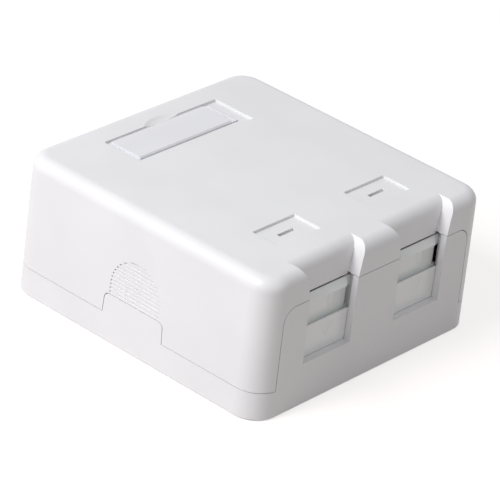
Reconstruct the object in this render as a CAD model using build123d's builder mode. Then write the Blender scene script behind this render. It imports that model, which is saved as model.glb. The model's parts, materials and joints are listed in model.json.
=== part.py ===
from build123d import *
from math import cos, radians, sin, tan
import os

# Two-port surface mount jack box, in millimetres.
# The origin is the centre of the underside. +Z points out of the wall that the box is screwed to.
# The ports face -Y. Left and right are as seen by someone who faces the ports.

os.makedirs("parts", exist_ok=True)
sides = {"left": -1, "right": 1}

# Outer form
box_width = 65.0
box_depth = 67.0
box_height = 30.5
draft_angle = 0.8
corner_radius = 5.6
top_edge_radius = 2.6
seam_height = 6.3
seam_gap = 0.15

# Walls
cover_wall = 2.0
cover_top = 2.0
base_wall = 2.2
floor_thickness = 2.0
lap_wall = 1.0
lap_height = 1.8
lap_gap = 0.12
foot_chamfer = 0.4

# Front wall of the base, which stands up into the cover
front_wall_drop = 6.84
front_wall_inset = 5.08
front_wall_lean = 0.2
front_wall_corner = 3.0
port_wall = 1.53

# Ports: each in the middle of its half of the box, then shifted inwards
port_shift = 2.95
port_half = 6.86
port_flare = 0.2
port_height = 14.06

# Side tabs of the base and the knock-outs above them
tab_half = 8.17
tab_top = 10.6
tab_lean = 0.47
tab_corner = 1.2
knockout_half = 6.7
knockout_top = 20.0
knockout_wall = 1.0
groove_pitch = 0.85
groove_width = 0.42
groove_depth = 0.3
groove_count = 11
groove_start = 0.7

# Finger notches in the cover
notch_depth = 2.75
notch_foot_half = 7.05
notch_mid_half = 7.75
notch_mid_drop = 3.1
notch_top_half = 9.2
notch_wall = 1.85
notch_side_wall = 1.4
shutter_shadow_gap = 0.4

# Shutters: an upper leaf slides behind a lower leaf, and both behind the sill
leaf_half = 7.9
leaf_side_play = 0.1
leaf_gap = 0.1
lower_leaf_thickness = 1.05
lower_leaf_reach = 6.9
lower_leaf_tuck = 0.5
upper_leaf_thickness = 1.2
upper_leaf_drop = 0.66
leaf_overlap = 1.7
lip_half = 6.6
lip_reach = 1.05
lip_rise = 1.15
lip_nose = 0.35
lip_end_cut = 0.8
lip_under = 0.75
lip_under_radius = 1.3
mark_depth = 0.15
mark_line = 0.35
chevron_half = 2.0
chevron_rise = 2.6
plug_mark_width = 4.4
plug_mark_height = 2.9
plug_mark_tab = 1.6
hook_half = 1.3
hook_reach = 0.4
hook_height = 0.6
hook_play = 0.12

# Shutter springs and the ears that they lift
spring_clearance = 1.5
spring_mean_radius = 1.3
spring_wire = 0.4
spring_pitch = 2.1
spring_steps = 12
spring_end_gap = 0.1
ear_drop = 2.2
ear_height = 1.5
ear_half_width = 1.7
ear_half_depth = 1.25
post_play = 0.35
post_height = 5.0
stop_gap = 0.05
stop_half = 1.0

# Guide rails that also form the jack bays
rail_drop = 0.76
rail_thickness = 1.7
rail_overlap = 0.6
rail_run = 13.87
rail_root_gap = 0.8
ear_slot_run = 12.4

# Jack module
jack_half = 7.1
jack_height = 14.6
jack_head_room = 4.1
jack_depth = 14.5
jack_front_gap = 0.2
socket_half = 5.95
socket_rise = 2.5
socket_height = 7.0
socket_depth = 12.4
latch_half = 3.25
latch_height = 2.1
latch_lip_half = 1.8
latch_lip_depth = 1.3
lug_half = 3.0
lug_depth = 2.0
lug_drop = 1.5
lug_from_front = 7.0
lug_play = 0.1
shelf_rib = 1.6
contact_count = 8
contact_pitch = 1.02
contact_wire = 0.42
contact_rise = 0.35
contact_reach = 11.4
contact_run = 5.0
contact_slope = 12
contact_bend_step = 0.42
contact_bend_count = 3
comb_half = 4.2
comb_height = 0.9
board_half = 6.9
board_thickness = 1.6
board_margin = 0.4

# Wire termination block behind the board
idc_depth = 7.8
idc_margin = 0.9
idc_pitch = 3.2
idc_slot = 1.0
idc_slot_depth = 4.4
idc_slit_half = 1.2
idc_slit = 0.6
idc_play = 0.05
blade_length = 4.6
blade_cut = 0.4
blade_cut_depth = 3.2
blade_from_board = 3.4
cap_wall = 1.1
cap_corner = 0.9
cap_gap = 0.1
cap_half = 6.6
cap_grip_count = 4
cap_grip_pitch = 1.6
cap_grip_width = 0.8
cap_grip_depth = 0.35

# Label: a shallow surround, a seat for card and window, and a scoop for a thumbnail
label_from_back = 12.45
label_half = 16.2
label_depth = 10.55
surround_drop = 0.55
window_width = 28.4
window_depth = 6.9
window_thickness = 1.0
window_chamfer = 0.15
window_shift = -0.7
window_tongue = 1.6
window_tongue_height = 0.55
card_thickness = 0.2
card_margin = 0.25
seat_play = 0.1
seat_wall = 1.6
seat_floor = 1.6
scoop_radius = 8.0
scoop_run = 2.1
scoop_section_radius = 4.2
scoop_shift = 1.05

# Icon seats
icon_width = 12.0
icon_depth = 6.9
icon_from_front = 13.65
icon_drop = 0.5
icon_slot_length = 4.6
icon_slot_width = 0.8
icon_corner = 0.3

# Cover screw and its post
screw_shank_radius = 1.45
screw_play = 0.05
screw_head_radius = 2.8
screw_head_height = 2.0
screw_head_play = 0.3
screw_head_chamfer = 0.4
screw_head_drop = 0.2
screw_point = 0.7
screw_length = 16.0
screw_recess = 1.1
screw_recess_width = 0.7
screw_recess_length = 3.4
post_radius = 3.6
post_rib = 1.2
post_rib_reach = 3.0
post_rib_drop = 7.0
screw_tube_radius = 4.6
screw_tube_length = 9.5

# Wall fixing and cable entry in the floor
wall_screw_inset = 9.5
wall_screw_radius = 2.1
wall_screw_head_radius = 4.0
wall_boss_radius = 5.2
wall_boss_height = 1.0
entry_half = 9.0
entry_depth = 13.0
entry_y = 6.5
entry_corner = 2.0
entry_lip = 1.2
entry_lip_height = 1.0
tie_offset = 3.7
tie_y = 4.0
tie_length = 6.0
tie_width = 3.4
tie_height = 3.4
tie_leg = 1.5
tie_hole = 1.9

# Hold-down ribs in the cover
hold_half = 4.5
hold_thickness = 1.4
hold_gap = 0.1
hold_from_front = 8.0

# Levels and planes that follow from the sizes
draft_slope = tan(radians(draft_angle))
rim_top = seam_height - seam_gap
lap_top = rim_top + lap_height
ceiling = box_height - cover_top
front_wall_top = box_height - front_wall_drop
front_wall_half = box_width / 2 - front_wall_inset
port_x = box_width / 4 - port_shift
port_sill = front_wall_top - port_height
port_back_y = -box_depth / 2 + front_wall_top / 2 * draft_slope + port_wall
lower_leaf_front_y = port_back_y + leaf_gap
lower_leaf_back_y = lower_leaf_front_y + lower_leaf_thickness
lower_leaf_top = port_sill + lower_leaf_reach
lower_leaf_bottom = port_sill - lower_leaf_tuck
upper_leaf_front_y = lower_leaf_back_y + leaf_gap
upper_leaf_back_y = upper_leaf_front_y + upper_leaf_thickness
upper_leaf_top = front_wall_top - upper_leaf_drop
upper_leaf_bottom = lower_leaf_top - leaf_overlap
notch_back_y = -box_depth / 2 + front_wall_top * draft_slope + notch_depth
notch_inner_y = notch_back_y + notch_wall
notch_bottom = front_wall_top + seam_gap
notch_hem = upper_leaf_top + shutter_shadow_gap
channel_half = leaf_half + leaf_side_play
channel_back_y = upper_leaf_back_y + leaf_gap
notch_mid_height = box_height - notch_mid_drop
rail_inner = leaf_half - rail_overlap
rail_outer = rail_inner + rail_thickness
rail_top = front_wall_top - rail_drop
spring_y = (upper_leaf_front_y + upper_leaf_back_y) / 2
spring_inner_radius = spring_mean_radius - spring_wire / 2
spring_offset = leaf_half + spring_clearance + spring_mean_radius + spring_wire / 2
ear_bottom = upper_leaf_top - ear_drop
ear_top = ear_bottom + ear_height
ear_slot_bottom = ear_bottom - ear_slot_run
jack_front_y = notch_inner_y + jack_front_gap
jack_back_y = jack_front_y + jack_depth
jack_top = ceiling - jack_head_room
jack_bottom = jack_top - jack_height
socket_bottom = jack_bottom + socket_rise
contact_level = socket_bottom + contact_rise
rail_end_y = jack_front_y + rail_run
board_back_y = jack_back_y + board_thickness
idc_bottom = jack_bottom + idc_margin
idc_top = jack_top - idc_margin
idc_back_y = board_back_y + idc_depth
icon_y = icon_from_front - box_depth / 2
label_y = box_depth / 2 - label_from_back
scoop_y = label_y - scoop_shift
seat_level = box_height - window_thickness - card_thickness
head_seat_level = seat_level - screw_head_height - screw_head_drop
post_top = ceiling - screw_tube_length
post_rib_top = post_top - post_rib_drop
wall_screw_x = box_width / 2 - wall_screw_inset
tie_x = port_x + tie_offset


def slab(x_span, y_span, z_span, mode=Mode.ADD):
    """Block between two limits on each axis, in the part that is being built."""
    spans = [sorted(span) for span in (x_span, y_span, z_span)]
    with Locations(tuple((low + high) / 2 for low, high in spans)):
        Box(*[high - low for low, high in spans], mode=mode)


def skin_block(bottom, top, inset, mode=Mode.ADD):
    """Tapered block that follows the outer skin of the box, set in from it."""
    lean = bottom * draft_slope + inset
    with BuildSketch(Plane.XY.offset(bottom)) as outline:
        RectangleRounded(box_width - 2 * lean, box_depth - 2 * lean, corner_radius - lean)
    extrude(outline.sketch, amount=top - bottom, taper=draft_angle, mode=mode)


def side_plane(side, inset=0.0):
    """Plane on the left or right outer face, leaning with the draft, with its y up the face."""
    lean = radians(draft_angle)
    face_plane = Plane(
        origin=(side * box_width / 2, 0, 0),
        x_dir=(0, side, 0),
        z_dir=(side * cos(lean), 0, sin(lean)),
    )
    return face_plane.offset(-inset)


def front_wall_outline(gap):
    """Outline of the raised front wall, or with a gap the cut-out around it."""
    half = front_wall_half + gap
    top_half = half - front_wall_lean
    with BuildSketch(Plane.XZ.offset(-port_back_y)) as outline:
        with BuildLine():
            Polyline(
                (-half, 0),
                (half, 0),
                (top_half, front_wall_top + gap),
                (-top_half, front_wall_top + gap),
                close=True,
            )
        make_face()
        fillet(outline.vertices().group_by(Axis.Y)[-1], radius=front_wall_corner + gap)
    return outline.sketch


def tab_outline(side, gap):
    """Outline of a side tab on the outer face, or with a gap the cut-out around it."""
    half = tab_half + gap
    top_half = half - tab_lean
    with BuildSketch(side_plane(side)) as outline:
        with BuildLine():
            Polyline(
                (-half, floor_thickness),
                (half, floor_thickness),
                (top_half, tab_top + gap),
                (-top_half, tab_top + gap),
                close=True,
            )
        make_face()
        fillet(outline.vertices().group_by(Axis.Y)[-1], radius=tab_corner + gap)
    return outline.sketch


def knockout_outline(side, inset, with_grooves):
    """Arched knock-out on a side face, whole or as the grooves across it."""
    spring_line = knockout_top - knockout_half
    with BuildSketch(side_plane(side, inset)) as outline:
        if with_grooves:
            for index in range(groove_count):
                with Locations((0, tab_top + groove_start + index * groove_pitch)):
                    Rectangle(2 * knockout_half, groove_width)
        with BuildSketch(mode=Mode.PRIVATE) as arch:
            with BuildLine():
                Line((-knockout_half, tab_top), (knockout_half, tab_top))
                Line((knockout_half, tab_top), (knockout_half, spring_line))
                ThreePointArc(
                    (knockout_half, spring_line), (0, knockout_top), (-knockout_half, spring_line)
                )
                Line((-knockout_half, spring_line), (-knockout_half, tab_top))
            make_face()
        add(arch.sketch, mode=Mode.INTERSECT if with_grooves else Mode.ADD)
    return outline.sketch


# Base
with BuildPart() as front_wall:
    # Starts above the chamfer at the foot, so that the chamfer runs all round
    skin_block(foot_chamfer, front_wall_top, 0)
    extrude(front_wall_outline(0), amount=box_depth, mode=Mode.INTERSECT)

with BuildPart() as base:
    skin_block(0, rim_top, 0)
    chamfer(base.faces().sort_by(Axis.Z)[0].edges(), length=foot_chamfer)
    skin_block(0, lap_top, lap_wall + lap_gap)
    skin_block(floor_thickness, lap_top, base_wall, mode=Mode.SUBTRACT)
    # Behind the front wall the rim is thinned to the wall's own back face
    slab(
        (-front_wall_half + rail_root_gap, front_wall_half - rail_root_gap),
        (port_back_y, port_back_y + base_wall),
        (floor_thickness, lap_top),
        mode=Mode.SUBTRACT,
    )
    add(front_wall.part)
    for side in sides.values():
        extrude(tab_outline(side, 0), amount=-base_wall)

    for side in sides.values():
        centre = side * port_x
        # Port opening, a little wider at the top
        with BuildSketch(Plane.XZ.offset(-port_back_y)):
            with BuildLine():
                Polyline(
                    (centre - port_half, port_sill),
                    (centre + port_half, port_sill),
                    (centre + port_half + port_flare, front_wall_top),
                    (centre - port_half - port_flare, front_wall_top),
                    close=True,
                )
            make_face()
        extrude(amount=2 * port_wall, mode=Mode.SUBTRACT)
        # Rails on both sides of the bay, with the channel that the leaves run in
        for hand in (-1, 1):
            slab(
                (centre + hand * rail_inner, centre + hand * rail_outer),
                (port_back_y, rail_end_y),
                (floor_thickness, rail_top),
            )
        slab(
            (centre - channel_half, centre + channel_half),
            (port_back_y, channel_back_y),
            (floor_thickness, rail_top),
            mode=Mode.SUBTRACT,
        )
        # Slot in the outer rail that the ear of the upper leaf runs in
        slab(
            (centre + side * leaf_half, centre + side * rail_outer),
            (lower_leaf_back_y, channel_back_y),
            (ear_slot_bottom, rail_top),
            mode=Mode.SUBTRACT,
        )
        # Post inside the foot of the spring
        with Locations((centre + side * spring_offset, spring_y, floor_thickness)):
            Cylinder(
                spring_inner_radius - post_play,
                post_height,
                align=(Align.CENTER, Align.CENTER, Align.MIN),
            )
        # Shelf ribs that carry the jack and hold its lug between them
        lug_front_y = jack_front_y + lug_from_front
        for rib_y in (lug_front_y - lug_play - shelf_rib, lug_front_y + lug_depth + lug_play):
            slab(
                (centre - rail_inner, centre + rail_inner),
                (rib_y, rib_y + shelf_rib),
                (floor_thickness, jack_bottom),
            )

    # Post for the cover screw, with four ribs at its foot
    with Locations((0, label_y, floor_thickness)):
        Cylinder(
            post_radius,
            post_top - floor_thickness,
            align=(Align.CENTER, Align.CENTER, Align.MIN),
        )
    rib_length = 2 * (post_radius + post_rib_reach)
    with BuildSketch(Plane.XY.offset(floor_thickness)):
        with Locations((0, label_y)):
            Rectangle(rib_length, post_rib)
            Rectangle(post_rib, rib_length)
    extrude(amount=post_rib_top - floor_thickness)
    with Locations((0, label_y, post_top)):
        Cylinder(
            screw_shank_radius + screw_play,
            screw_length,
            align=(Align.CENTER, Align.CENTER, Align.CENTER),
            mode=Mode.SUBTRACT,
        )

    # Wall screw holes, countersunk from inside in low bosses
    boss_top = floor_thickness + wall_boss_height
    for side in sides.values():
        with Locations((side * wall_screw_x, 0, floor_thickness)):
            Cylinder(
                wall_boss_radius,
                wall_boss_height,
                align=(Align.CENTER, Align.CENTER, Align.MIN),
            )
        with Locations((side * wall_screw_x, 0, boss_top)):
            CounterSinkHole(wall_screw_radius, wall_screw_head_radius, depth=boss_top)

    # Cable entry through the floor, with a low lip around it
    with BuildSketch(Plane.XY.offset(floor_thickness)):
        with Locations((0, entry_y)):
            RectangleRounded(
                2 * (entry_half + entry_lip),
                entry_depth + 2 * entry_lip,
                entry_corner + entry_lip,
            )
    extrude(amount=entry_lip_height)
    with BuildSketch(Plane.XY):
        with Locations((0, entry_y)):
            RectangleRounded(2 * entry_half, entry_depth, entry_corner)
    extrude(amount=floor_thickness + entry_lip_height, mode=Mode.SUBTRACT)

    # Bridges for cable ties, one behind each jack
    for side in sides.values():
        tie_x_span = (side * tie_x - tie_width / 2, side * tie_x + tie_width / 2)
        tie_y_span = (tie_y - tie_length / 2, tie_y + tie_length / 2)
        slab(tie_x_span, tie_y_span, (floor_thickness, floor_thickness + tie_height))
        slab(
            tie_x_span,
            (tie_y - tie_length / 2 + tie_leg, tie_y + tie_length / 2 - tie_leg),
            (floor_thickness, floor_thickness + tie_hole),
            mode=Mode.SUBTRACT,
        )


# Cover
with BuildPart() as finger_notch:
    # Front view: straight flared sides that curl outwards at the top
    with BuildSketch(Plane.XZ):
        with BuildLine():
            foot = (notch_foot_half, notch_hem)
            waist = (notch_mid_half, notch_mid_height)
            shoulder = (notch_top_half, box_height)
            Line((0, notch_hem), foot)
            Line(foot, waist)
            TangentArc(
                waist,
                shoulder,
                tangent=(notch_mid_half - notch_foot_half, notch_mid_height - notch_hem),
            )
            Line(shoulder, (notch_top_half, box_height + cover_top))
            Line((notch_top_half, box_height + cover_top), (0, box_height + cover_top))
            Line((0, box_height + cover_top), (0, notch_hem))
        make_face()
        mirror(about=Plane.YZ)
    extrude(amount=box_depth)
    # Side view: a straight back wall with a rounded top edge
    round_y = notch_back_y + top_edge_radius
    round_z = box_height - top_edge_radius
    with BuildSketch(Plane.YZ.offset(-notch_top_half)):
        with BuildLine():
            Line((-box_depth, notch_hem), (notch_back_y, notch_hem))
            Line((notch_back_y, notch_hem), (notch_back_y, round_z))
            CenterArc((round_y, round_z), top_edge_radius, 90, 90)
            Line((round_y, box_height), (round_y, box_height + cover_top))
            Line((round_y, box_height + cover_top), (-box_depth, box_height + cover_top))
            Line((-box_depth, box_height + cover_top), (-box_depth, notch_hem))
        make_face()
    extrude(amount=2 * notch_top_half, mode=Mode.INTERSECT)

with BuildPart() as thumb_scoop:
    scoop_plane = Plane(origin=(0, scoop_y, box_height), x_dir=(1, 0, 0), z_dir=(0, -1, 0))
    with BuildSketch(scoop_plane):
        with BuildLine():
            Line((scoop_radius, 0), (scoop_radius - 2 * scoop_run, 0))
            Line((scoop_radius - 2 * scoop_run, 0), (scoop_radius - 2 * scoop_run, -surround_drop))
            Line(
                (scoop_radius - 2 * scoop_run, -surround_drop),
                (scoop_radius - scoop_run, -surround_drop),
            )
            RadiusArc(
                (scoop_radius - scoop_run, -surround_drop),
                (scoop_radius, 0),
                -scoop_section_radius,
            )
        make_face()
    revolve(axis=Axis((0, scoop_y, 0), (0, 0, 1)), revolution_arc=180)

with BuildPart() as cover:
    skin_block(seam_height, box_height, 0)
    fillet(cover.edges().group_by(Axis.Z)[-1], radius=top_edge_radius)
    skin_block(seam_height, ceiling, cover_wall, mode=Mode.SUBTRACT)
    skin_block(seam_height, lap_top + seam_gap, lap_wall, mode=Mode.SUBTRACT)
    extrude(front_wall_outline(seam_gap), amount=box_depth, mode=Mode.SUBTRACT)
    # What is left of the cover's own wall behind the front wall is cleared as well
    slab(
        (-front_wall_half, front_wall_half),
        (port_back_y - lap_wall, port_back_y + cover_wall),
        (seam_height, front_wall_top),
        mode=Mode.SUBTRACT,
    )

    for side in sides.values():
        centre = side * port_x
        # Pocket of the finger notch, with the hem that the shutter closes against
        pocket_half = notch_top_half + notch_side_wall
        slab(
            (centre - pocket_half, centre + pocket_half),
            (port_back_y - lap_wall, notch_inner_y),
            (notch_bottom, ceiling),
        )
        slab(
            (centre - notch_foot_half, centre + notch_foot_half),
            (notch_back_y, notch_inner_y),
            (notch_hem, ceiling),
        )
        with Locations((centre, 0, 0)):
            add(finger_notch.part, mode=Mode.SUBTRACT)
        # Stop over the ear of the upper leaf
        spring_x = centre + side * spring_offset
        slab(
            (spring_x - stop_half, spring_x + stop_half),
            (spring_y - stop_half, spring_y + stop_half),
            (ear_top + stop_gap, ceiling),
        )
        # Rib that holds the jack down on its shelf
        hold_y = jack_front_y + hold_from_front
        slab(
            (centre - hold_half, centre + hold_half),
            (hold_y, hold_y + hold_thickness),
            (jack_top + hold_gap, ceiling),
        )
        # Icon seat with its slot
        with BuildSketch(Plane.XY.offset(box_height)):
            with Locations((centre, icon_y)):
                RectangleRounded(icon_width, icon_depth, icon_corner)
        extrude(amount=-icon_drop, mode=Mode.SUBTRACT)
        slab(
            (centre - icon_slot_length / 2, centre + icon_slot_length / 2),
            (icon_y - icon_slot_width / 2, icon_y + icon_slot_width / 2),
            (ceiling, box_height),
            mode=Mode.SUBTRACT,
        )
        # Cut-out around the side tab, and the thinned, grooved knock-out above it
        extrude(tab_outline(side, seam_gap), amount=-2 * cover_wall, mode=Mode.SUBTRACT)
        thinned = knockout_outline(side, knockout_wall, with_grooves=False)
        extrude(thinned, amount=-cover_wall, mode=Mode.SUBTRACT)
        grooves = knockout_outline(side, 0, with_grooves=True)
        extrude(grooves, amount=-groove_depth, mode=Mode.SUBTRACT)

    # Seat of the label under the top, with the tube for the cover screw
    window_centre = (window_shift, label_y)
    seat_width = window_width + 2 * seat_play
    seat_depth = window_depth + 2 * seat_play
    with BuildSketch(Plane.XY.offset(ceiling)):
        with Locations(window_centre):
            RectangleRounded(
                seat_width + 2 * seat_wall, seat_depth + 2 * seat_wall, seat_wall
            )
    extrude(amount=seat_level - seat_floor - ceiling)
    with Locations((0, label_y, post_top)):
        Cylinder(
            screw_tube_radius,
            ceiling - post_top,
            align=(Align.CENTER, Align.CENTER, Align.MIN),
        )
    # Surround and seat of the window
    with BuildSketch(Plane.XY.offset(box_height)):
        with Locations((0, label_y)):
            RectangleRounded(2 * label_half, label_depth, icon_corner)
    extrude(amount=-surround_drop, mode=Mode.SUBTRACT)
    slab(
        (window_shift - seat_width / 2, window_shift + seat_width / 2),
        (label_y - seat_depth / 2, label_y + seat_depth / 2),
        (seat_level, box_height),
        mode=Mode.SUBTRACT,
    )
    add(thumb_scoop.part, mode=Mode.SUBTRACT)
    # Screw hole with its counterbore
    with Locations((0, label_y, seat_level)):
        CounterBoreHole(
            screw_shank_radius + screw_play,
            screw_head_radius + screw_head_play,
            seat_level - head_seat_level,
            depth=box_height,
        )


# Shutters
def upper_leaf(side):
    """Upper leaf of a shutter: finger lip, engraved plug outline, ear for the spring and hook."""
    centre = side * port_x
    slope_start_y = upper_leaf_front_y + lip_rise - lip_reach
    lip_front_y = upper_leaf_front_y - lip_reach
    nose_z = upper_leaf_top - lip_rise
    under_z = nose_z - lip_nose - lip_under
    # Finger lip: sloped top, blunt nose, an underside that runs into the leaf, and cut ends
    with BuildPart() as lip:
        with BuildSketch(Plane.YZ.offset(centre - lip_half)):
            with BuildLine():
                Polyline(
                    (upper_leaf_front_y, under_z),
                    (slope_start_y, under_z),
                    (slope_start_y, upper_leaf_top),
                    (lip_front_y, nose_z),
                    (lip_front_y, nose_z - lip_nose),
                )
                RadiusArc(
                    (lip_front_y, nose_z - lip_nose),
                    (upper_leaf_front_y, under_z),
                    lip_under_radius,
                )
            make_face()
        extrude(amount=2 * lip_half)
        with BuildSketch(Plane.XY.offset(under_z)) as plan:
            with Locations((centre, (lip_front_y + upper_leaf_back_y) / 2)):
                Rectangle(2 * lip_half, upper_leaf_back_y - lip_front_y)
            chamfer(plan.vertices().group_by(Axis.Y)[0], length=lip_end_cut)
        extrude(amount=upper_leaf_top - under_z, mode=Mode.INTERSECT)

    with BuildPart() as leaf:
        slab(
            (centre - leaf_half, centre + leaf_half),
            (upper_leaf_front_y, upper_leaf_back_y),
            (upper_leaf_bottom, upper_leaf_top),
        )
        add(lip.part)
        # The slope also cuts the front of the leaf's own top edge
        with BuildSketch(Plane.YZ.offset(centre - leaf_half)):
            with BuildLine():
                Polyline(
                    (slope_start_y, upper_leaf_top),
                    (lip_front_y, nose_z),
                    (lip_front_y, upper_leaf_top),
                    close=True,
                )
            make_face()
        extrude(amount=2 * leaf_half, mode=Mode.SUBTRACT)
        # Ear beside the leaf that the spring lifts
        spring_x = centre + side * spring_offset
        slab(
            (centre + side * leaf_half, spring_x),
            (upper_leaf_front_y, upper_leaf_back_y),
            (ear_bottom, ear_top),
        )
        slab(
            (spring_x - ear_half_width, spring_x + ear_half_width),
            (spring_y - ear_half_depth, spring_y + ear_half_depth),
            (ear_bottom, ear_top),
        )
        # Hook that lifts the lower leaf on the way up
        slab(
            (centre - hook_half, centre + hook_half),
            (upper_leaf_front_y - hook_reach, upper_leaf_front_y),
            (upper_leaf_bottom, upper_leaf_bottom + hook_height),
        )
        # Engraved outline of a plug
        mark_z = (lower_leaf_top + under_z) / 2
        with BuildSketch(Plane.XZ.offset(-upper_leaf_front_y)):
            with Locations((centre, mark_z)):
                Rectangle(plug_mark_width, plug_mark_height)
                Rectangle(
                    plug_mark_width - 2 * mark_line,
                    plug_mark_height - 2 * mark_line,
                    mode=Mode.SUBTRACT,
                )
            with Locations((centre, mark_z - plug_mark_height / 2 + mark_line)):
                Rectangle(plug_mark_tab, mark_line)
        extrude(amount=-mark_depth, mode=Mode.SUBTRACT)
    return leaf.part


def lower_leaf(side):
    """Lower leaf of a shutter, with an engraved chevron and a groove for the hook behind."""
    centre = side * port_x
    with BuildPart() as leaf:
        slab(
            (centre - leaf_half, centre + leaf_half),
            (lower_leaf_front_y, lower_leaf_back_y),
            (lower_leaf_bottom, lower_leaf_top),
        )
        slab(
            (centre - hook_half - hook_play, centre + hook_half + hook_play),
            (upper_leaf_front_y - hook_reach - hook_play, lower_leaf_back_y),
            (lower_leaf_bottom, upper_leaf_bottom + hook_height + hook_play),
            mode=Mode.SUBTRACT,
        )
        chevron_foot = (port_sill + lower_leaf_top - chevron_rise) / 2
        with BuildSketch(Plane.XZ.offset(-lower_leaf_front_y)):
            with BuildLine():
                Polyline(
                    (centre - chevron_half, chevron_foot + chevron_rise),
                    (centre, chevron_foot),
                    (centre + chevron_half, chevron_foot + chevron_rise),
                )
            trace(line_width=mark_line)
        extrude(amount=-mark_depth, mode=Mode.SUBTRACT)
    return leaf.part


def shutter_spring(side):
    """Coil spring that stands on the floor and lifts the ear of the upper leaf."""
    start = floor_thickness + spring_wire / 2 + spring_end_gap
    length = ear_bottom - spring_end_gap - spring_wire / 2 - start
    centre = (side * (port_x + spring_offset), spring_y, start)
    step_count = round(length / spring_pitch * spring_steps)
    # A coil of this size is drawn with short straight steps and a six-sided wire
    with BuildPart() as spring:
        with BuildLine() as coil:
            helix = Helix(
                spring_pitch, length, spring_mean_radius, center=centre, mode=Mode.PRIVATE
            )
            Polyline(*[helix @ (index / step_count) for index in range(step_count + 1)])
        with BuildSketch(Plane(origin=coil.line @ 0, z_dir=coil.line % 0)):
            RegularPolygon(spring_wire / 2, 6)
        sweep(path=coil.line, transition=Transition.RIGHT)
    return spring.part


# Jack module
def jack_housing(side):
    """Modular socket with a latch slot above, a contact comb behind and a lug below."""
    centre = side * port_x
    with BuildPart() as housing:
        slab(
            (centre - jack_half, centre + jack_half),
            (jack_front_y, jack_back_y),
            (jack_bottom, jack_top),
        )
        lug_y = jack_front_y + lug_from_front
        slab(
            (centre - lug_half, centre + lug_half),
            (lug_y, lug_y + lug_depth),
            (jack_bottom - lug_drop, jack_bottom),
        )
        socket_top = socket_bottom + socket_height
        slab(
            (centre - socket_half, centre + socket_half),
            (jack_front_y, jack_front_y + socket_depth),
            (socket_bottom, socket_top),
            mode=Mode.SUBTRACT,
        )
        slab(
            (centre - latch_half, centre + latch_half),
            (jack_front_y + latch_lip_depth, jack_front_y + socket_depth),
            (socket_top, socket_top + latch_height),
            mode=Mode.SUBTRACT,
        )
        slab(
            (centre - latch_lip_half, centre + latch_lip_half),
            (jack_front_y, jack_front_y + latch_lip_depth),
            (socket_top, socket_top + latch_height),
            mode=Mode.SUBTRACT,
        )
        slab(
            (centre - comb_half, centre + comb_half),
            (jack_front_y + socket_depth, jack_back_y),
            (contact_level - comb_height / 2, contact_level + comb_height / 2),
            mode=Mode.SUBTRACT,
        )
    return housing.part


def jack_contacts(side):
    """Contact wires: from the board forward under the socket, then back up into it."""
    bend_y = jack_back_y - contact_reach + contact_bend_step
    bend_angle = (180 - contact_slope) / (contact_bend_count + 1)
    with BuildPart() as contacts:
        for index in range(contact_count):
            offset = (index - (contact_count - 1) / 2) * contact_pitch
            with BuildSketch(Plane.YZ.offset(side * port_x + offset - contact_wire / 2)):
                with BuildLine():
                    run = Line((jack_back_y, contact_level), (bend_y, contact_level))
                    # The hairpin at the front is a few short straight steps
                    for bend in range(1, contact_bend_count + 1):
                        run = PolarLine(run @ 1, contact_bend_step, angle=180 - bend * bend_angle)
                    PolarLine(run @ 1, contact_run, angle=contact_slope)
                trace(line_width=contact_wire)
            extrude(amount=contact_wire)
        # The wires end on the face of the board
        slab(
            (side * port_x - jack_half, side * port_x + jack_half),
            (jack_back_y, jack_back_y + contact_wire),
            (jack_bottom, jack_top),
            mode=Mode.SUBTRACT,
        )
    return contacts.part


def circuit_board(side):
    """Small board between the socket and the termination block."""
    centre = side * port_x
    with BuildPart() as board:
        slab(
            (centre - board_half, centre + board_half),
            (jack_back_y, board_back_y),
            (jack_bottom + board_margin, jack_top - board_margin),
        )
    return board.part


def idc_places(side):
    """Centres of the wire slots, with +1 for the upper row and -1 for the lower row."""
    columns = contact_count // 2
    offsets = [(index - (columns - 1) / 2) * idc_pitch for index in range(columns)]
    return [(side * port_x + offset, row) for row in (-1, 1) for offset in offsets]


def idc_block(side):
    """Termination block with a row of wire slots above and a row below."""
    centre = side * port_x
    blade_y = board_back_y + blade_from_board
    with BuildPart() as block:
        slab(
            (centre - board_half, centre + board_half),
            (board_back_y, idc_back_y),
            (idc_bottom, idc_top),
        )
        for slot_x, row in idc_places(side):
            outer = idc_top if row > 0 else idc_bottom
            slab(
                (slot_x - idc_slot / 2, slot_x + idc_slot / 2),
                (board_back_y, idc_back_y),
                (outer - row * idc_slot_depth, outer),
                mode=Mode.SUBTRACT,
            )
            slab(
                (slot_x - idc_slit_half, slot_x + idc_slit_half),
                (blade_y - idc_slit / 2, blade_y + idc_slit / 2),
                (outer - row * (blade_length + idc_play), outer),
                mode=Mode.SUBTRACT,
            )
    return block.part


def idc_contacts(side):
    """Forked blades that cut through a wire's insulation, one in each slot."""
    blade_y = board_back_y + blade_from_board
    blade_half = idc_slit / 2 - idc_play
    with BuildPart() as blades:
        for slot_x, row in idc_places(side):
            outer = idc_top - idc_margin if row > 0 else idc_bottom + idc_margin
            inner = (idc_top if row > 0 else idc_bottom) - row * (blade_length + idc_play)
            with BuildSketch(Plane.XZ.offset(-blade_y - blade_half)) as fork:
                with Locations((slot_x, (outer + inner) / 2)):
                    Rectangle(2 * (idc_slit_half - idc_play), abs(outer - inner))
                with Locations((slot_x, outer - row * blade_cut_depth / 2)):
                    Rectangle(blade_cut, blade_cut_depth, mode=Mode.SUBTRACT)
            extrude(fork.sketch, amount=2 * blade_half)
    return blades.part


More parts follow.
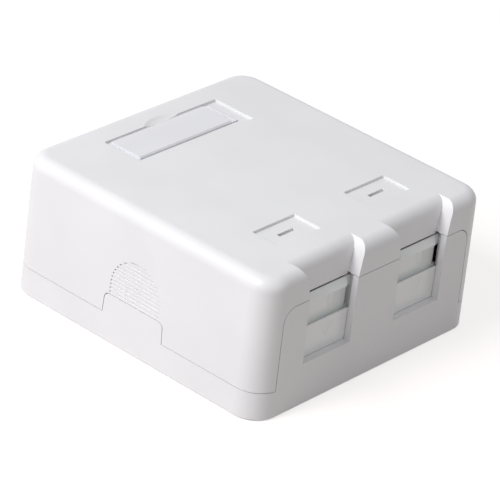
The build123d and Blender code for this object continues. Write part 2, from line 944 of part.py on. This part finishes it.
def idc_cap(side):
    """Cap that clips round the termination block and presses the wires into the slots."""
    centre = side * port_x
    inner_low = idc_bottom - cap_gap
    inner_high = idc_top + cap_gap
    inner_back = idc_back_y + cap_gap
    with BuildPart() as cap:
        with BuildSketch(Plane.YZ.offset(centre - cap_half)) as channel:
            with BuildLine():
                Polyline(
                    (board_back_y + cap_wall, inner_low - cap_wall),
                    (inner_back + cap_wall, inner_low - cap_wall),
                    (inner_back + cap_wall, inner_high + cap_wall),
                    (board_back_y + cap_wall, inner_high + cap_wall),
                    (board_back_y + cap_wall, inner_high),
                    (inner_back, inner_high),
                    (inner_back, inner_low),
                    (board_back_y + cap_wall, inner_low),
                    close=True,
                )
            make_face()
            fillet(channel.vertices().sort_by(Axis.X)[-2:], radius=cap_corner)
        extrude(amount=2 * cap_half)
        # Finger grooves across the back
        middle = (inner_low + inner_high) / 2
        for index in range(cap_grip_count):
            grip_z = middle + (index - (cap_grip_count - 1) / 2) * cap_grip_pitch
            slab(
                (centre - cap_half, centre + cap_half),
                (inner_back + cap_wall - cap_grip_depth, inner_back + cap_wall),
                (grip_z - cap_grip_width / 2, grip_z + cap_grip_width / 2),
                mode=Mode.SUBTRACT,
            )
    return cap.part


# Label and cover screw
with BuildPart() as label_card:
    slab(
        (
            window_shift - window_width / 2 + card_margin,
            window_shift + window_width / 2 - card_margin,
        ),
        (
            label_y - window_depth / 2 + card_margin,
            label_y + window_depth / 2 - card_margin,
        ),
        (seat_level, seat_level + card_thickness),
    )

with BuildPart() as label_window:
    window_bottom = seat_level + card_thickness
    slab(
        (window_shift - window_width / 2, window_shift + window_width / 2),
        (label_y - window_depth / 2, label_y + window_depth / 2),
        (window_bottom, window_bottom + window_thickness),
    )
    chamfer(label_window.faces().sort_by(Axis.Z)[-1].edges(), length=window_chamfer)
    # Low step at the right end, under a thumbnail
    slab(
        (
            window_shift + window_width / 2 - window_tongue,
            window_shift + window_width / 2,
        ),
        (label_y - window_depth / 2, label_y + window_depth / 2),
        (window_bottom + window_tongue_height, window_bottom + window_thickness),
        mode=Mode.SUBTRACT,
    )

with BuildPart() as cover_screw:
    with Locations((0, label_y, head_seat_level)):
        Cylinder(
            screw_head_radius,
            screw_head_height,
            align=(Align.CENTER, Align.CENTER, Align.MIN),
        )
    chamfer(
        cover_screw.faces().sort_by(Axis.Z)[-1].edges(), length=screw_head_chamfer
    )
    with Locations((0, label_y, head_seat_level)):
        Cylinder(
            screw_shank_radius,
            screw_length,
            align=(Align.CENTER, Align.CENTER, Align.MAX),
        )
    chamfer(
        cover_screw.faces().sort_by(Axis.Z)[0].edges(), length=screw_point
    )
    with BuildSketch(Plane.XY.offset(head_seat_level + screw_head_height)):
        with Locations((0, label_y)):
            Rectangle(screw_recess_length, screw_recess_width)
            Rectangle(screw_recess_width, screw_recess_length)
    extrude(amount=-screw_recess, mode=Mode.SUBTRACT)


# Finished pieces, one file each
pieces = {
    "base": base.part,
    "cover": cover.part,
    "label_card": label_card.part,
    "label_window": label_window.part,
    "cover_screw": cover_screw.part,
}
for name, side in sides.items():
    pieces["shutter_upper_" + name] = upper_leaf(side)
    pieces["shutter_lower_" + name] = lower_leaf(side)
    pieces["shutter_spring_" + name] = shutter_spring(side)
    pieces["jack_housing_" + name] = jack_housing(side)
    pieces["jack_contacts_" + name] = jack_contacts(side)
    pieces["circuit_board_" + name] = circuit_board(side)
    pieces["idc_block_" + name] = idc_block(side)
    pieces["idc_contacts_" + name] = idc_contacts(side)
    pieces["idc_cap_" + name] = idc_cap(side)

for name, part in pieces.items():
    part.label = name
    export_step(part, "parts/" + name + ".step")
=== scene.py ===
import json
from math import cos, radians, sin

import bmesh
import bpy
from mathutils import Matrix, Vector


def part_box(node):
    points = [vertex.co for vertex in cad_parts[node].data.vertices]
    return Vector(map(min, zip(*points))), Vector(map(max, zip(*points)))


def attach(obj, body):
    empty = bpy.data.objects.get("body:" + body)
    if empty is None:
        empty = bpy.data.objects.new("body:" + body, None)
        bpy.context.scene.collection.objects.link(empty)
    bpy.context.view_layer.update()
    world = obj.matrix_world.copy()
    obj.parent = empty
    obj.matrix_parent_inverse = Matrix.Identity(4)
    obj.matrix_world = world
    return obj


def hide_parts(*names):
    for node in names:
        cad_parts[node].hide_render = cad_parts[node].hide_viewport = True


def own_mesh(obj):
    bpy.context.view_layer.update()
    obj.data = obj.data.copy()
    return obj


# Looks of a two-port surface mount jack box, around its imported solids.
# Every length below is in millimetres until it is multiplied by MM.

MM = 0.001

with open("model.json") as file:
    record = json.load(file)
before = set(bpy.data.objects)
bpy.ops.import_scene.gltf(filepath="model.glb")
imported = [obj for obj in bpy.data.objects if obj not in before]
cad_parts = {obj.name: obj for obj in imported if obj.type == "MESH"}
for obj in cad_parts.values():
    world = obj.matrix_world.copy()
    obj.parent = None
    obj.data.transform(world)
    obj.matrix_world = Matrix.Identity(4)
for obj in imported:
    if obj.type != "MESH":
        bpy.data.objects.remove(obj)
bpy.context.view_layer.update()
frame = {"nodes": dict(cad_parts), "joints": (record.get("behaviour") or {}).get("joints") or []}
nodes = frame["nodes"]
scene = bpy.context.scene


# Materials

# Distance over which the shade of a moulded or plated skin drifts
drift_mm = 14.0
# Softness that moulding, stamping and sawing leave along an edge
edge_mm = 0.08
# Stretch of the drift in which the darker shade turns into the lighter one
shade_turn = (0.35, 0.65)


def linear(colour):
    """Linear RGBA of an sRGB hex colour."""
    channels = [int(colour[i:i + 2], 16) / 255 for i in (1, 3, 5)]
    return [
        c / 12.92 if c <= 0.04045 else ((c + 0.055) / 1.055) ** 2.4 for c in channels
    ] + [1.0]


def add_node(tree, kind, settings=None, inputs=None, links=None):
    """Add a node: its own settings, values for its input sockets, and links into them."""
    node = tree.nodes.new(kind)
    for name, value in (settings or {}).items():
        setattr(node, name, value)
    for socket, value in (inputs or {}).items():
        node.inputs[socket].default_value = value
    for socket, source in (links or {}).items():
        tree.links.new(source, node.inputs[socket])
    return node


def surface(name, shades, roughness, grain_mm, depth_mm, stretch=(1, 1, 1), settings=None):
    """Material whose shade and gloss drift slowly, with a fine relief over them.

    The two shades run from dark to light, and the two values of roughness from glossy to dull.
    The relief follows Object coordinates, stretched along the axes that the work drew it out on.
    """
    material = bpy.data.materials.new(name)
    material.use_nodes = True
    tree = material.node_tree
    shader = tree.nodes["Principled BSDF"]
    for socket, value in (settings or {}).items():
        shader.inputs[socket].default_value = value
    place = add_node(tree, "ShaderNodeTexCoord").outputs["Object"]
    drift = add_node(
        tree,
        "ShaderNodeTexNoise",
        inputs={"Scale": 1 / (drift_mm * MM), "Detail": 1.0},
        links={"Vector": place},
    ).outputs["Fac"]
    ramp = add_node(tree, "ShaderNodeValToRGB", links={"Fac": drift})
    for element, position, shade in zip(ramp.color_ramp.elements, shade_turn, shades):
        element.position = position
        element.color = linear(shade)
    gloss = add_node(
        tree,
        "ShaderNodeMapRange",
        inputs={"To Min": roughness[0], "To Max": roughness[1]},
        links={"Value": drift},
    ).outputs["Result"]
    drawn = add_node(
        tree, "ShaderNodeMapping", inputs={"Scale": stretch}, links={"Vector": place}
    ).outputs["Vector"]
    grain = add_node(
        tree,
        "ShaderNodeTexNoise",
        inputs={"Scale": 1 / (grain_mm * MM), "Detail": 2.0},
        links={"Vector": drawn},
    ).outputs["Fac"]
    edge = add_node(
        tree, "ShaderNodeBevel", {"samples": 8}, inputs={"Radius": edge_mm * MM}
    ).outputs["Normal"]
    relief = add_node(
        tree,
        "ShaderNodeBump",
        inputs={"Distance": depth_mm * MM},
        links={"Height": grain, "Normal": edge},
    ).outputs["Normal"]
    tree.links.new(ramp.outputs["Color"], shader.inputs["Base Color"])
    tree.links.new(gloss, shader.inputs["Roughness"])
    tree.links.new(relief, shader.inputs["Normal"])
    return material


# ABS moulded against an eroded steel mould: a satin skin with a soft sheen along the edges, in
# whites so close that only the light tells them apart. The real grain is near 0.05 mm; it is
# drawn at 0.25 mm so that it shows.
housing_abs = surface(
    "white_abs_satin_moulded", ("#EBEBED", "#EEEEF0"), (0.34, 0.42), grain_mm=0.25, depth_mm=0.0015,
    settings={"IOR": 1.53},
)

# The same plastic from a polished mould: cooler, lighter and glossier, as thin leaves are
shutter_abs = surface(
    "white_abs_polished_moulded", ("#F3F6F6", "#F6F8F8"), (0.2, 0.27), grain_mm=0.4, depth_mm=0.0006,
    settings={"IOR": 1.53},
)

# PBT, moulded: the denser, duller white of modular sockets
jack_pbt = surface(
    "white_pbt_moulded", ("#DFDED9", "#E5E4E0"), (0.42, 0.5), grain_mm=0.2, depth_mm=0.002,
    settings={"IOR": 1.55},
)

# Polycarbonate moulded in ivory: the termination blocks
block_pc = surface(
    "ivory_polycarbonate_moulded", ("#D5D1C0", "#DDD9C9"), (0.36, 0.44), grain_mm=0.2, depth_mm=0.002,
    settings={"IOR": 1.58},
)

# ABS moulded in grey, with a coarser grain for grip
cap_abs = surface(
    "grey_abs_grained_moulded", ("#8B9097", "#959AA1"), (0.46, 0.55), grain_mm=0.3, depth_mm=0.006,
    settings={"IOR": 1.53},
)

# Polycarbonate, moulded clear and polished: the card shows through, under a thin bright sheen
window_pc = surface(
    "clear_polycarbonate_polished", ("#F4F4F9", "#F8F8FD"), (0.05, 0.1), grain_mm=4.0, depth_mm=0.002,
    settings={"IOR": 1.58, "Alpha": 0.9},
)

# Uncoated card, cut: matt, with faint fibres about 0.5 mm long that lie along the sheet
label_paper = surface(
    "white_card_cut", ("#E6E6E9", "#ECECEF"), (0.86, 0.94), grain_mm=0.18, depth_mm=0.006,
    stretch=(0.35, 1, 1), settings={"IOR": 1.45},
)

# Steel, turned and zinc plated: a bright, slightly blue grey with fine rings round the axis
screw_steel = surface(
    "steel_turned_zinc_plated", ("#C5C8CE", "#CDD0D4"), (0.24, 0.36), grain_mm=0.2, depth_mm=0.003,
    stretch=(0.5, 0.5, 4), settings={"Metallic": 1.0},
)

# Steel, drawn to wire and coiled: darker and duller than the plating
spring_wire = surface(
    "steel_spring_wire_drawn", ("#9FA2A7", "#ABAEB2"), (0.3, 0.42), grain_mm=0.15, depth_mm=0.002,
    settings={"Metallic": 1.0},
)

# Phosphor bronze, drawn and gold plated: the smooth contact wires, marked along their length
contact_gold = surface(
    "bronze_drawn_gold_plated", ("#DFB455", "#E6BE66"), (0.18, 0.28), grain_mm=0.3, depth_mm=0.001,
    stretch=(1, 0.2, 1), settings={"Metallic": 1.0},
)

# Phosphor bronze, stamped and tin plated: forked blades with a cloudy grey skin
blade_tin = surface(
    "bronze_stamped_tin_plated", ("#BEBEB9", "#C9C9C5"), (0.34, 0.5), grain_mm=0.15, depth_mm=0.002,
    stretch=(1, 1, 0.3), settings={"Metallic": 1.0},
)

# Glass-fibre laminate, sawn, under green solder resist: a gloss film over a weave that shows
# as a fine ribbing across the board
board_resist = surface(
    "glass_laminate_green_resist", ("#1A633F", "#22734B"), (0.22, 0.32), grain_mm=0.4, depth_mm=0.01,
    stretch=(0.2, 1, 1), settings={"IOR": 1.52, "Coat Weight": 0.4},
)

finishes = {
    "base": housing_abs,
    "cover": housing_abs,
    "shutter_upper": shutter_abs,
    "shutter_lower": shutter_abs,
    "shutter_spring": spring_wire,
    "label_window": window_pc,
    "label_card": label_paper,
    "cover_screw": screw_steel,
    "jack_housing": jack_pbt,
    "jack_contacts": contact_gold,
    "circuit_board": board_resist,
    "idc_block": block_pc,
    "idc_contacts": blade_tin,
    "idc_cap": cap_abs,
}

for name, node in nodes.items():
    kind = name.removesuffix("_left").removesuffix("_right")
    node.data.materials.clear()
    node.data.materials.append(finishes[kind])


# Shapes

X_AXIS = 0
Y_AXIS = 1
# Closer points of a copied mesh become one
merge_mm = 0.0005
# How far a cut reaches past what it cuts
past = 1.0


def new_object(name, shape):
    """Object at the origin that holds a finished bmesh."""
    mesh = bpy.data.meshes.new(name)
    shape.to_mesh(mesh)
    shape.free()
    made = bpy.data.objects.new(name, mesh)
    scene.collection.objects.link(made)
    return made


def prism(profile, along, low, high):
    """Closed prism: a profile across two axes, drawn from low to high along the third."""
    shape = bmesh.new()
    corners = []
    for first, second in profile:
        place = [first, second]
        place.insert(along, low)
        corners.append(shape.verts.new(Vector(place) * MM))
    end = bmesh.ops.contextual_create(shape, geom=corners)["faces"]
    drawn = bmesh.ops.extrude_face_region(shape, geom=end, use_keep_orig=True)["geom"]
    step = Vector((0, 0, 0))
    step[along] = (high - low) * MM
    moved = [part for part in drawn if isinstance(part, bmesh.types.BMVert)]
    bmesh.ops.translate(shape, vec=step, verts=moved)
    bmesh.ops.recalc_face_normals(shape, faces=shape.faces)
    return shape


def rectangle(first_low, first_high, second_low, second_high):
    """Corners of a rectangle, in order."""
    return [
        (first_low, second_low),
        (first_high, second_low),
        (first_high, second_high),
        (first_low, second_high),
    ]


def falling(edge, back, top):
    """Profile of a cut that falls away at 45 degrees behind an edge on top of a leaf."""
    return [
        (edge - past, top + past),
        (back + past, top - (back - edge) - past),
        (back + past, top + past),
    ]


def copied(node_name):
    """Merged copy of a node's mesh."""
    shape = bmesh.new()
    shape.from_mesh(nodes[node_name].data)
    bmesh.ops.remove_doubles(shape, verts=shape.verts, dist=merge_mm * MM)
    return shape


def dressed(node_name, body_name, shape, changes, material):
    """Shape with prisms joined to it or cut from it, shown in place of a node."""
    piece = new_object("dressed_" + node_name, shape)
    for operation, body in changes:
        tool = new_object("tool", body)
        change = piece.modifiers.new("change", "BOOLEAN")
        change.operation = operation
        change.object = tool
        changed = piece.evaluated_get(bpy.context.evaluated_depsgraph_get())
        mesh = bpy.data.meshes.new_from_object(changed)
        piece.modifiers.clear()
        piece.data = mesh
        bpy.data.objects.remove(tool)
    piece.data.materials.clear()
    piece.data.materials.append(material)
    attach(piece, body_name)
    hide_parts(node_name)
    return piece


# Shutter leaves, with the finer shapes of the real moulding

# Play between the leaves
leaf_gap = 0.1
upper_thickness = 1.2
# The lower leaf keeps a narrow flat on top and falls away behind it
ledge_flat = 0.3
# The upper leaf has a waist under its lip, beside which the dark inside shows
waist_half = 6.95
waist_depth = 3.0
lip_height = 2.25
lip_half = 6.6
# The top of the upper leaf falls away behind the lip
lip_flat = 0.3
# Marks, to the right of the middle and hardly deeper than the grain
mark_line = 0.3
mark_depth = 0.04
# Plate that fills the deeper marks first
filler_depth = 0.5
filler_half = 3.0
filler_margin = 1.0
plug_shift = 2.7
plug_half = 1.0
plug_low = 1.6
plug_high = 4.1
chevron_shift = 0.7
chevron_half = 1.8
chevron_foot = 3.5
chevron_rise = 2.6

for side in ("left", "right"):
    low, high = (Vector(corner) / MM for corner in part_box("shutter_lower_" + side))
    _, lip_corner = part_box("shutter_upper_" + side)
    lip_top = lip_corner[2] / MM
    lip_foot = lip_top - lip_height
    centre = (low.x + high.x) / 2
    filler_left = centre - filler_half
    filler_right = centre + filler_half

    # Lower leaf: filled front, falling top, and a faint chevron
    front, back, ledge = low.y, high.y, high.z
    tip_x = centre + chevron_shift
    tip_z = low.z + chevron_foot
    chevron = []
    for offset, hands in ((-mark_line / 2, (-1, 0, 1)), (mark_line / 2, (1, 0, -1))):
        for hand in hands:
            chevron.append(
                (tip_x + hand * chevron_half, tip_z + abs(hand) * chevron_rise + offset)
            )
    filler = rectangle(filler_left, filler_right, low.z + filler_margin, ledge - filler_margin)
    slope = falling(front + ledge_flat, back, ledge)
    changes = [
        ("UNION", prism(filler, Y_AXIS, front, front + filler_depth)),
        ("DIFFERENCE", prism(slope, X_AXIS, low.x - past, high.x + past)),
        ("DIFFERENCE", prism(chevron, Y_AXIS, front - past, front + mark_depth)),
    ]
    name = "shutter_lower_" + side
    dressed(name, name, copied(name), changes, shutter_abs)

    # Upper leaf: filled front, falling top, waist, and a faint outline of a plug
    front = back + leaf_gap
    back = front + upper_thickness
    plug_x = centre + plug_shift
    plug_foot = ledge + plug_low
    plug_head = ledge + plug_high
    filler = rectangle(filler_left, filler_right, ledge - filler_margin, lip_foot)
    slope = falling(front + lip_flat, back, lip_top)
    changes = [
        ("UNION", prism(filler, Y_AXIS, front, front + filler_depth)),
        ("DIFFERENCE", prism(slope, X_AXIS, centre - lip_half, centre + lip_half)),
    ]
    for hand in (-1, 1):
        edges = sorted(
            (centre + hand * waist_half, centre + hand * (waist_half + waist_depth))
        )
        waist = rectangle(*edges, ledge, lip_foot)
        changes.append(("DIFFERENCE", prism(waist, Y_AXIS, front - past, back + past)))
        edges = sorted((plug_x + hand * plug_half, plug_x + hand * (plug_half - mark_line)))
        line = rectangle(*edges, plug_foot, plug_head)
        changes.append(("DIFFERENCE", prism(line, Y_AXIS, front - past, front + mark_depth)))
    line = rectangle(plug_x - plug_half, plug_x + plug_half, plug_foot - mark_line, plug_foot)
    changes.append(("DIFFERENCE", prism(line, Y_AXIS, front - past, front + mark_depth)))
    name = "shutter_upper_" + side
    dressed(name, name, copied(name), changes, shutter_abs)


# Label window, with low ribs at its right end

# Chamfer along the front edge
window_edge = 0.27
# The rim lies over the floor of the surround and leaves a narrow gap before its back wall
window_rim = 0.5
surround_behind = 1.75
rear_gap = 0.6
# Lower right end, and the ribs on it
tongue_length = 2.0
tongue_drop = 0.3
rib_pitch = 0.75
rib_gap = 0.3
rib_height = 0.15
rib_count = 2

low, high = (Vector(corner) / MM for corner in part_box("label_window"))
rear = high.y + surround_behind - rear_gap
side_view = [
    (low.y, low.z),
    (high.y, low.z),
    (high.y, high.z - window_rim),
    (rear, high.z - window_rim),
    (rear, high.z),
    (low.y + window_edge, high.z),
    (low.y, high.z - window_edge),
]
tongue = rectangle(
    high.x - tongue_length, high.x + past, high.z - tongue_drop, high.z + past
)
changes = [("DIFFERENCE", prism(tongue, Y_AXIS, low.y - past, rear + past))]
for index in range(rib_count):
    gap_x = high.x - tongue_length + rib_gap + index * rib_pitch
    gap = rectangle(gap_x, gap_x + rib_gap, high.z - tongue_drop - rib_height, high.z)
    changes.append(("DIFFERENCE", prism(gap, Y_AXIS, low.y - past, rear + past)))
glazing = prism(side_view, X_AXIS, low.x, high.x)
dressed("label_window", "cover", glazing, changes, window_pc)


# Shutter springs: each is shown as a merged copy that rides the base; the foot worked out for it
# is not used. The frame gives their sizes in metres.

for joint in frame["joints"]:
    for coil in joint.get("deforming_nodes", []):
        name = coil["node"]
        low, high = (Vector(corner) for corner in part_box(name))
        foot = (low + high) / 2
        foot.z = coil["fixed_end_z_m"]
        piece = dressed(name, "base", copied(name), [], spring_wire)
        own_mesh(piece)


# Floor and light

floor_half = 1500 * MM
sheet = bmesh.new()
bmesh.ops.create_grid(sheet, x_segments=1, y_segments=1, size=floor_half)
floor = new_object("floor", sheet)


def seen_directly(tree):
    """1 for rays from the camera, a mirror or clear plastic, and 0 for the rays that carry light."""
    path = add_node(tree, "ShaderNodeLightPath")
    mirrored = add_node(
        tree,
        "ShaderNodeMath",
        {"operation": "MAXIMUM"},
        links={0: path.outputs["Is Camera Ray"], 1: path.outputs["Is Glossy Ray"]},
    ).outputs["Value"]
    return add_node(
        tree,
        "ShaderNodeMath",
        {"operation": "MAXIMUM"},
        links={0: mirrored, 1: path.outputs["Is Transmission Ray"]},
    ).outputs["Value"]


# Matt paper sweep: a light grey that is seen as white, with the shadow of the box left in it
floor_glow = 0.68
sweep = bpy.data.materials.new("grey_paper_sweep")
sweep.use_nodes = True
tree = sweep.node_tree
shader = tree.nodes["Principled BSDF"]
shader.inputs["Base Color"].default_value = linear("#C1BAB7")
shader.inputs["Roughness"].default_value = 1.0
shader.inputs["Specular IOR Level"].default_value = 0.0
shader.inputs["Emission Color"].default_value = linear("#FFFFFF")
glow = add_node(
    tree,
    "ShaderNodeMath",
    {"operation": "MULTIPLY"},
    inputs={1: floor_glow},
    links={0: seen_directly(tree)},
).outputs["Value"]
tree.links.new(glow, shader.inputs["Emission Strength"])
floor.data.materials.append(sweep)

# Even light from all round, and white where it is looked at
world_light = 0.41
world = bpy.data.worlds.new("studio")
scene.world = world
world.use_nodes = True
tree = world.node_tree
background = tree.nodes["Background"]
background.inputs["Color"].default_value = linear("#FFFFFF")
strength = add_node(
    tree,
    "ShaderNodeMapRange",
    inputs={"To Min": world_light, "To Max": 1.0},
    links={"Value": seen_directly(tree)},
).outputs["Result"]
tree.links.new(strength, background.inputs["Strength"])

# Point inside the box that the lamp and the camera face
middle = Vector((0, 0, 15)) * MM


def softbox(name, towards, distance_mm, size_mm, watts, colour):
    """Square lamp that stands in one direction from the box and faces it."""
    lamp = bpy.data.lights.new(name, "AREA")
    lamp.shape = "SQUARE"
    lamp.size = size_mm * MM
    lamp.energy = watts
    lamp.color = linear(colour)[:3]
    stand = bpy.data.objects.new(name, lamp)
    scene.collection.objects.link(stand)
    way = Vector(towards).normalized()
    stand.location = middle + way * distance_mm * MM
    stand.rotation_euler = way.to_track_quat("Z", "Y").to_euler()


# Key from the left and a little from behind, so that the front stays in its own shade
softbox("key", (-1.0, 0.3, 0.9), distance_mm=700, size_mm=300, watts=3.6, colour="#FDFDFF")


# Camera, at the photograph's viewing angle
azimuth = radians(-50.909)
elevation = radians(28.869)
roll = radians(7.038)
to_camera = Vector(
    (sin(azimuth) * cos(elevation), -cos(azimuth) * cos(elevation), sin(elevation))
)
level_right = Vector((0, 0, 1)).cross(to_camera).normalized()
level_up = to_camera.cross(level_right)
right = cos(roll) * level_right + sin(roll) * level_up
up = cos(roll) * level_up - sin(roll) * level_right
distance = 671.949
aim_right = 0.281
aim_up = -2.170
camera_data = bpy.data.cameras.new("camera")
camera_data.sensor_width = 36.0
camera_data.lens = 243.12
camera_data.clip_start = 50 * MM
camera_data.clip_end = 10000 * MM
camera = bpy.data.objects.new("camera", camera_data)
scene.collection.objects.link(camera)
camera.matrix_world = Matrix.Translation(
    middle + (to_camera * distance + right * aim_right + up * aim_up) * MM
) @ Matrix((right, up, to_camera)).transposed().to_4x4()
scene.camera = camera

scene.view_settings.view_transform = "Standard"

bpy.context.view_layer.update()
